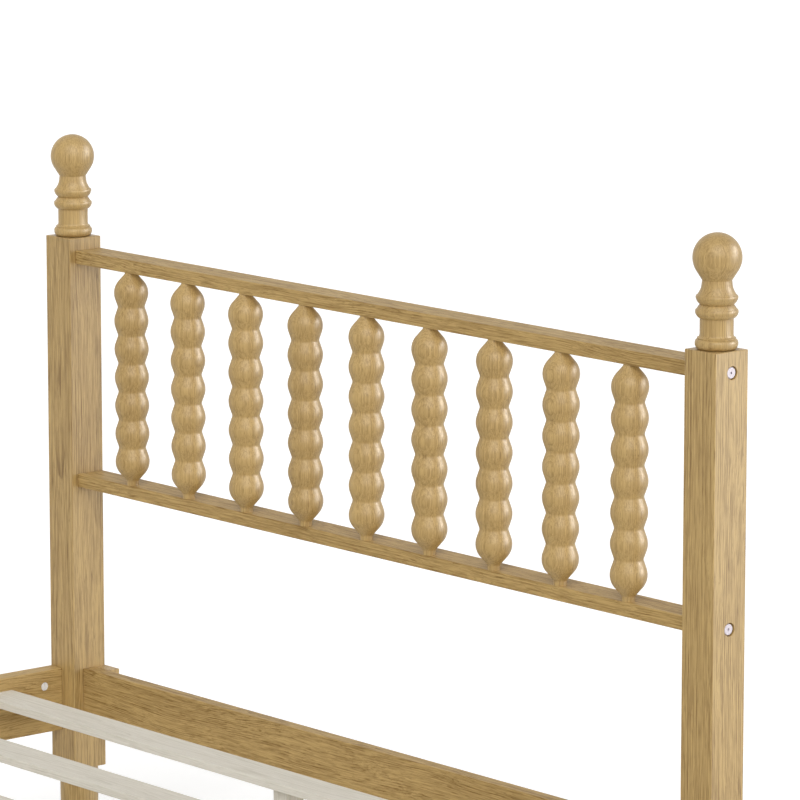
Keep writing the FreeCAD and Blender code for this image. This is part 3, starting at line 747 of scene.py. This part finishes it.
class BED_OT_finishes(bpy.types.Operator):
    """Make the finishes and put them on the boards, posts and slats"""

    bl_idname = "bed.finishes"
    bl_label = "Finishes"

    def execute(self, context):
        finish = context.scene.bed_finish
        oak = (finish.oak_pale, finish.oak_dark, finish.oak_pore_and_shade)
        raw = (finish.raw_pale, finish.raw_dark, finish.raw_pore)
        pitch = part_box("head_spindle_6")[0].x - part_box("head_spindle_5")[0].x
        slat_step = SLAT_LOW.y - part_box("slat_2")[0].y
        slat_middle = (SLAT_LOW.y + SLAT_HIGH.y) / 2
        made = {
            "oak_upright": wood("oak_upright", "Z", (POST_AXIS.x, POST_AXIS.y, ONE_CELL),
                                *oak, ring=0.0041),
            # the cross rails and the side rails get a painted shadow at their ends
            # against the posts
            "oak_cross": wood("oak_cross", "X", (ONE_CELL, POST_AXIS.y, RAIL_CELL), *oak,
                              tone=0.06, wave=2.2, joint=INNER_X,
                              roughness=0.48, gloss=0.15),
            "oak_side": wood("oak_side", "Y", (SIDE_LOW.x, ONE_CELL, SIDE_MIDDLE.z), *oak,
                             tone=-0.10, wave=2.2, joint=POST_FACE,
                             roughness=0.48, gloss=0.15),
            "oak_turned": wood("oak_turned", "Z", (pitch, POST_AXIS.y, ONE_CELL), *oak,
                               contrast=0.6, tone=0.03),
            "raw_slat": wood("raw_slat", "X", (ONE_CELL, slat_step, SLAT_LOW.z), *raw,
                             contrast=0.8, roughness=0.62, pores=0.5),
            "raw_leg": wood("raw_leg", "Z", (ONE_CELL, slat_middle, ONE_CELL), *raw,
                            contrast=0.9, roughness=0.62, pores=0.5),
            "bright_zinc": zinc("bright_zinc", finish.zinc, finish.zinc_head_painted_dim),
        }
        for part in frame["record"]["subparts"]:
            node = NODES[part["node"]]
            for slot in node.material_slots:
                slot.material = made[part["material_slot"]]
        return {"FINISHED"}


class BED_OT_spindles(bpy.types.Operator):
    """Turn the beaded spindles of both end frames"""

    bl_idname = "bed.spindles"
    bl_label = "Spindles"

    def execute(self, context):
        turning = context.scene.bed_turning
        node = "%s_spindle_%d"
        for end_name in ENDS:
            low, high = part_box(node % (end_name, 1))
            seat = low.z + turning.peg_length
            run = high.z - turning.peg_length - seat
            beads = 1 + round((run - turning.lower_neck - turning.upper_neck)
                              / turning.bead_pitch)
            centre = (low + high) / 2
            master = turned("spindle_master", centre,
                            spindle_profile(turning, beads, seat), turning.sides)
            for number in range(1, SPINDLES + 1):
                box_low, box_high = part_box(node % (end_name, number))
                step = (box_low + box_high) / 2 - centre
                name = "turned_%s_spindle_%d" % (end_name, number)
                dressed(copied(master, name, Matrix.Translation(step)), "oak_turned",
                        node % (end_name, number))
            bpy.data.objects.remove(master)
        return {"FINISHED"}


class BED_OT_finials(bpy.types.Operator):
    """Turn the four ball finials"""

    bl_idname = "bed.finials"
    bl_label = "Finials"

    def execute(self, context):
        turning = context.scene.bed_turning
        for end_name, end in ENDS.items():
            for side_name, side in SIDES.items():
                node = "%s_finial_%s" % (end_name, side_name)
                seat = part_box("%s_post_%s" % (end_name, side_name))[1].z
                centre = Vector((side * POST_AXIS.x, end * POST_AXIS.y))
                piece = turned("turned_" + node, centre, finial_profile(turning, seat),
                               turning.sides, pole=True)
                dressed(piece, "oak_turned", node)
        return {"FINISHED"}


class BED_OT_bolts(bpy.types.Operator):
    """Make the joint bolts of the cross rails and of the side rails"""

    bl_idname = "bed.bolts"
    bl_label = "Bolts"

    def execute(self, context):
        places = []
        for x, y, z in rail_bolt_points():
            face = math.copysign(HALF_WIDTH - RAIL_SINK + RAIL_HEAD, x)
            places.append(((face, y, z), (-math.copysign(1, x), 0, 0)))
        bolt = hex_bolt("rail_bolt", RAIL_HEAD_RADIUS, RAIL_HEAD,
                        RAIL_BOLT_RADIUS, RAIL_BOLT_LENGTH)
        set_out(bolt, "rail_bolts", spun(places))
        places = []
        for x, y, z in side_bolt_points():
            face = math.copysign(POST_BACK - SIDE_SINK + SIDE_HEAD, y)
            places.append(((x, face, z), (0, -math.copysign(1, y), 0)))
        bolt = hex_bolt("side_bolt", SIDE_HEAD_RADIUS, SIDE_HEAD,
                        SIDE_BOLT_RADIUS, SIDE_BOLT_LENGTH)
        set_out(bolt, "side_bolts", spun(places))
        return {"FINISHED"}


class BED_OT_nuts(bpy.types.Operator):
    """Make the barrel nuts that the bolts screw into"""

    bl_idname = "bed.nuts"
    bl_label = "Barrel nuts"

    def execute(self, context):
        nut = barrel_nut("side_nut", SIDE_NUT_RADIUS, SIDE_NUT_LENGTH,
                         SIDE_NUT_HOLE, SIDE_NUT_HOLE_UP)
        turns = []
        for x, y, z in side_bolt_points():
            face = math.copysign(SIDE_LOW.x + SIDE_NUT_SINK, x)
            reach = math.copysign(POST_FACE - SIDE_NUT_IN, y)
            turns.append(side_nut_turn(Vector((face, reach, z))))
        set_out(nut, "side_nuts", turns)
        nut = barrel_nut("rail_nut", RAIL_NUT_RADIUS, RAIL_NUT_LENGTH,
                         RAIL_NUT_HOLE, RAIL_NUT_LENGTH / 2)
        turns = []
        for x, y, z in rail_bolt_points():
            reach = math.copysign(INNER_X - RAIL_NUT_IN, x)
            turns.append(Matrix.Translation((reach, y, z - RAIL_NUT_LENGTH / 2))
                         @ Matrix.Rotation(math.radians(90), 4, "Z"))
        set_out(nut, "rail_nuts", turns)
        return {"FINISHED"}


class BED_OT_screws(bpy.types.Operator):
    """Make the countersunk wood screws"""

    bl_idname = "bed.screws"
    bl_label = "Screws"

    def execute(self, context):
        groups = (("slat_screws", SHORT_SCREW, slat_screw_places()),
                  ("frame_screws", MEDIUM_SCREW,
                   ledger_screw_places() + board_screw_places()),
                  ("cleat_screws", LONG_SCREW, cleat_screw_places()))
        for node, size, places in groups:
            set_out(cross_screw(node + "_master", size), node, spun(places))
        return {"FINISHED"}


def rail_bolt_points():
    points = []
    for end_name, end in ENDS.items():
        for rail in ("top_rail", "spindle_rail"):
            low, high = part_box("%s_%s" % (end_name, rail))
            for side in SIDES.values():
                points.append((side * HALF_WIDTH, end * (POST_FACE + RAIL_BOLT_BACK),
                               (low.z + high.z) / 2))
    return points


def side_bolt_points():
    return [(side * SIDE_MIDDLE.x, end * POST_BACK, SIDE_HIGH.z - drop)
            for end, side in CORNERS for drop in SIDE_BOLT_DROPS]


def side_nut_turn(origin):
    """The nut runs outwards into the side rail, its cross hole along the rail."""
    side = math.copysign(1, origin.x)
    turn = Matrix(((0, 0, side), (0, 1, 0), (-side, 0, 0))).to_4x4()
    return Matrix.Translation(origin) @ turn


def slat_middles():
    boxes = [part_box("slat_%d" % number) for number in range(1, SLATS + 1)]
    return [(low.y + high.y) / 2 for low, high in boxes]


def slat_screw_places():
    return [((side * LEDGER_MIDDLE.x, y, SLAT_HIGH.z), (0, 0, -1))
            for y in slat_middles() for side in SIDES.values()]


def ledger_screw_places():
    middles = slat_middles()
    between = [(this + following) / 2 for this, following in zip(middles, middles[1:])]
    return [((side * LEDGER_LOW.x, y, LEDGER_MIDDLE.z), (side, 0, 0))
            for y in between for side in SIDES.values()]


def board_screw_places():
    return [((side * CLEAT_MIDDLE.x, end * CLEAT_HIGH.y, BOARD_TOP - inset),
             (0, -end, 0)) for end, side in CORNERS for inset in BOARD_INSETS]


def cleat_screw_places():
    return [((side * CLEAT_LOW.x, end * CLEAT_MIDDLE.y, BOARD_TOP - inset),
             (side, 0, 0)) for end, side in CORNERS for inset in CLEAT_INSETS]


# Lights and floor. A light's place is a direction from the bed towards it.
KEY_SPREAD = 50
KEY_FROM = (0.54, -0.60, 0.59)
RIM_LIGHTS = (             # name, share of the strength, spread, direction
    ("rim", 1.0, 30, (0.50, 0.78, 0.38)),
    ("low_rim", 1.0, 36, (0.72, 0.68, 0.07)),
    ("front_rim", 0.5, 50, (0.80, -0.20, 0.56)))
PANEL_SIZE = (1.7, 1.3)
PANEL_PLACE = (3.0, 3.0, 0.70)
PANEL_FROM = (0.75, 0.66, 0.0)
FLOOR_SIZE = 160
FLOOR_DROP = 0.0004        # the floor lies this far under the feet
FLOOR_GLOW = 0.34          # added white as the camera sees it
FLOOR_GLOW_BENT = 0.22     # and as it is seen in shine
IMAGE_SIDE = 800
SENSOR_WIDTH = 36.0


class BED_OT_stage(bpy.types.Operator):
    """Set the floor, the lights and the camera"""

    bl_idname = "bed.stage"
    bl_label = "Stage"

    def execute(self, context):
        stage = context.scene.bed_stage
        add_floor(context.scene.bed_finish.floor)
        light_world(stage.sky_strength)
        add_sun("key", stage.key_strength, KEY_SPREAD, KEY_FROM)
        for name, share, spread, source in RIM_LIGHTS:
            lamp = add_sun(name, share * stage.rim_strength, spread, source)
            lamp.visible_diffuse = False
        add_panel(stage.panel_power)
        place_camera(stage)
        context.scene.view_settings.view_transform = "Standard"
        return {"FINISHED"}


def add_floor(tint):
    """A pale floor that looks white but keeps the bed's shadow."""
    deselect()
    bpy.ops.mesh.primitive_plane_add(size=FLOOR_SIZE, location=(0, 0, -FLOOR_DROP))
    floor = settle(bpy.context.object, "studio_floor")
    net = Net("studio_floor")
    net.shader.inputs["Base Color"].default_value = rgba(tint)
    net.shader.inputs["Roughness"].default_value = 0.9
    net.shader.inputs["Specular IOR Level"].default_value = 0.2
    path = net.add("ShaderNodeLightPath")
    straight = net.math("MULTIPLY", path.outputs["Is Camera Ray"], FLOOR_GLOW)
    bent = net.math("MAXIMUM", path.outputs["Is Glossy Ray"],
                    path.outputs["Is Transmission Ray"])
    net.shader.inputs["Emission Color"].default_value = (1, 1, 1, 1)
    net.join(net.math("MAXIMUM", straight, net.math("MULTIPLY", bent, FLOOR_GLOW_BENT)),
             net.shader.inputs["Emission Strength"])
    floor.data.materials.append(net.material)


def light_world(strength):
    """An even sky, which the camera, shine and glass see as plain white."""
    world = bpy.data.worlds.new("studio")
    bpy.context.scene.world = world
    world.use_nodes = True
    tree = world.node_tree
    tree.nodes.clear()
    output = tree.nodes.new("ShaderNodeOutputWorld")
    sky = tree.nodes.new("ShaderNodeBackground")
    sky.inputs["Color"].default_value = (1, 1, 1, 1)
    path = tree.nodes.new("ShaderNodeLightPath")
    seen = tree.nodes.new("ShaderNodeMath")
    seen.operation = "ADD"
    tree.links.new(path.outputs["Is Camera Ray"], seen.inputs[0])
    tree.links.new(path.outputs["Is Glossy Ray"], seen.inputs[1])
    shown = tree.nodes.new("ShaderNodeMath")
    shown.operation = "ADD"
    shown.use_clamp = True
    tree.links.new(seen.outputs[0], shown.inputs[0])
    tree.links.new(path.outputs["Is Transmission Ray"], shown.inputs[1])
    level = tree.nodes.new("ShaderNodeMapRange")
    level.inputs["To Min"].default_value = strength
    level.inputs["To Max"].default_value = 1.0
    tree.links.new(shown.outputs[0], level.inputs["Value"])
    tree.links.new(level.outputs["Result"], sky.inputs["Strength"])
    tree.links.new(sky.outputs[0], output.inputs["Surface"])


def add_sun(name, strength, spread, source):
    """A soft light from far away; source points from the bed to it."""
    lamp = bpy.data.lights.new(name, "SUN")
    lamp.energy = strength
    lamp.angle = math.radians(spread)
    holder = bpy.data.objects.new(name, lamp)
    holder.rotation_euler = Vector(source).to_track_quat("Z", "Y").to_euler()
    bpy.context.collection.objects.link(holder)
    return holder


def add_panel(power):
    """A broad soft panel that stands beside the head end."""
    lamp = bpy.data.lights.new("panel", "AREA")
    lamp.energy = power
    lamp.shape = "RECTANGLE"
    lamp.size, lamp.size_y = PANEL_SIZE
    holder = bpy.data.objects.new("panel", lamp)
    holder.location = PANEL_PLACE
    holder.rotation_euler = Vector(PANEL_FROM).to_track_quat("Z", "Y").to_euler()
    holder.visible_camera = False
    bpy.context.collection.objects.link(holder)


def place_camera(stage):
    """Put the camera where it sees the aim at its column and row."""
    azimuth, elevation = stage.azimuth, stage.elevation
    forward = Vector((-math.sin(azimuth) * math.cos(elevation),
                      math.cos(azimuth) * math.cos(elevation),
                      -math.sin(elevation)))
    right = Vector((math.cos(azimuth), math.sin(azimuth), 0))
    up = right.cross(forward)
    across = (stage.aim_column - IMAGE_SIDE / 2) / stage.focal_pixels
    down = (stage.aim_row - IMAGE_SIDE / 2) / stage.focal_pixels
    place = Vector(stage.aim) - stage.distance * (forward + across * right - down * up)
    data = bpy.data.cameras.new("camera")
    data.sensor_fit = "HORIZONTAL"
    data.sensor_width = SENSOR_WIDTH
    data.lens = stage.focal_pixels / IMAGE_SIDE * SENSOR_WIDTH
    data.clip_end = 200
    camera = bpy.data.objects.new("camera", data)
    turn = Matrix((right, up, -forward)).transposed()
    camera.matrix_world = Matrix.Translation(place) @ turn.to_4x4()
    bpy.context.collection.objects.link(camera)
    bpy.context.scene.camera = camera


class BED_PT_panel(bpy.types.Panel):
    """Lists the steps that build the bed"""

    bl_label = "Spindle bed"
    bl_idname = "BED_PT_panel"
    bl_space_type = "VIEW_3D"
    bl_region_type = "UI"
    bl_category = "Bed"

    def draw(self, context):
        layout = self.layout
        for settings in (context.scene.bed_turning, context.scene.bed_finish,
                         context.scene.bed_stage):
            box = layout.box()
            for key in settings.__annotations__:
                box.prop(settings, key)
        for step in STEPS:
            layout.operator(step.bl_idname)


STEPS = (BED_OT_finishes, BED_OT_spindles, BED_OT_finials, BED_OT_bolts,
         BED_OT_nuts, BED_OT_screws, BED_OT_stage)
SETTINGS = (BedTurning, BedFinish, BedStage)


def register():
    for item in SETTINGS + STEPS + (BED_PT_panel,):
        bpy.utils.register_class(item)
    scene = bpy.types.Scene
    scene.bed_turning = bpy.props.PointerProperty(type=BedTurning)
    scene.bed_finish = bpy.props.PointerProperty(type=BedFinish)
    scene.bed_stage = bpy.props.PointerProperty(type=BedStage)


def unregister():
    del bpy.types.Scene.bed_turning
    del bpy.types.Scene.bed_finish
    del bpy.types.Scene.bed_stage
    for item in reversed(SETTINGS + STEPS + (BED_PT_panel,)):
        bpy.utils.unregister_class(item)


def main():
    register()
    bpy.ops.bed.finishes()
    bpy.ops.bed.spindles()
    bpy.ops.bed.finials()
    bpy.ops.bed.bolts()
    bpy.ops.bed.nuts()
    bpy.ops.bed.screws()
    bpy.ops.bed.stage()


if __name__ == "__main__":
    main()
